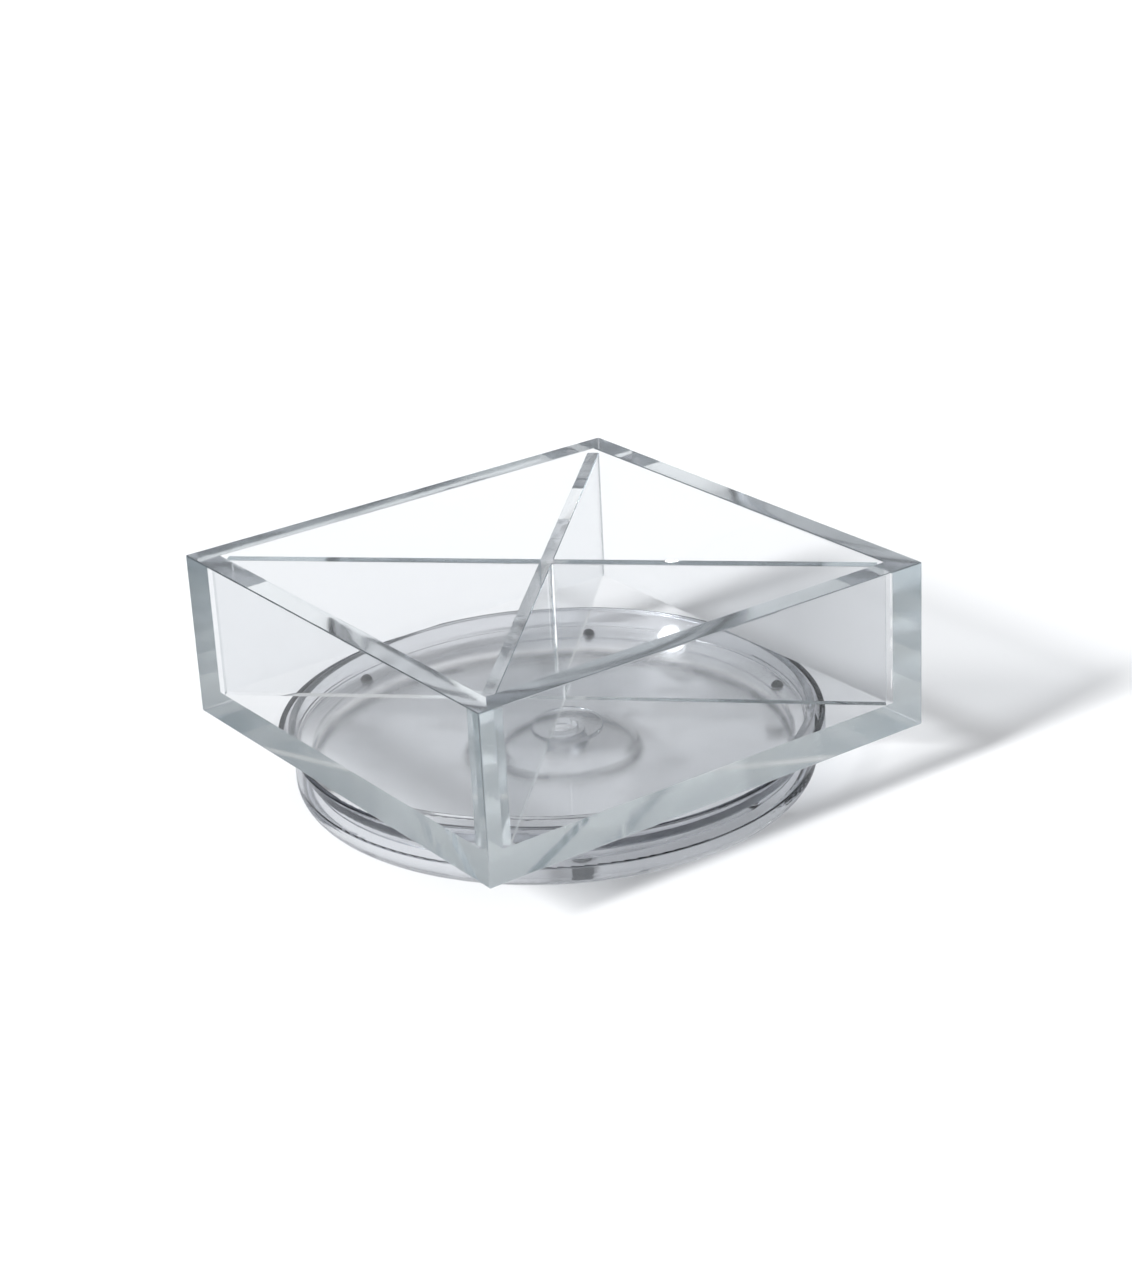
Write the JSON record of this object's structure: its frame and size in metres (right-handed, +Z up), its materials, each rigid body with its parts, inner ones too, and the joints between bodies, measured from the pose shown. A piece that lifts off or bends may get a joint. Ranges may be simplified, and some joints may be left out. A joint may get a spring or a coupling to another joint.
{
  "type": "revolving divided tray",
  "caption": "Open square tray of thick clear acrylic, divided by two crossed diagonal partitions, standing on a clear round ball-bearing turntable.",
  "frame": {"origin": "on the table, on the turntable's axis, under the middle of the tray", "axes": "+Z up along the turntable's axis; X and Y along the tray's sides at rest, -Y towards front_wall"},
  "size_m": [0.203, 0.203, 0.09],
  "materials": {
    "clear_acrylic": "polished",
    "clear_styrene": "polished",
    "steel_ball": "polished",
    "foot_rubber": "satin"
  },
  "bodies": {
    "base": {"base_dish": "clear_styrene", "foot_1": "foot_rubber", "foot_2": "foot_rubber", "foot_3": "foot_rubber", "foot_4": "foot_rubber"},
    "bearing": {"ball_cage": "clear_styrene", "bearing_ball_1": "steel_ball", "bearing_ball_2": "steel_ball", "bearing_ball_3": "steel_ball", "bearing_ball_4": "steel_ball", "bearing_ball_5": "steel_ball", "bearing_ball_6": "steel_ball"},
    "tray": {"tray_floor": "clear_acrylic", "front_wall": "clear_acrylic", "back_wall": "clear_acrylic", "left_wall": "clear_acrylic", "right_wall": "clear_acrylic", "long_divider": "clear_acrylic", "cross_divider": "clear_acrylic", "top_disc": "clear_styrene", "pivot_pin": "clear_styrene", "retaining_washer": "clear_styrene"}
  },
  "joints": [
    {"name": "tray_turn", "type": "hinge", "parent": "base", "child": "tray", "pos_m": [0, 0, 0.012], "axis": [0, 0, 1], "continuous": true},
    {"name": "cage_turn", "type": "hinge", "parent": "base", "child": "bearing", "pos_m": [0, 0, 0.012], "axis": [0, 0, 1], "continuous": true}
  ],
  "couplings": [
    {"joint": "cage_turn", "follows": "tray_turn", "ratio": 0.5}
  ]
}
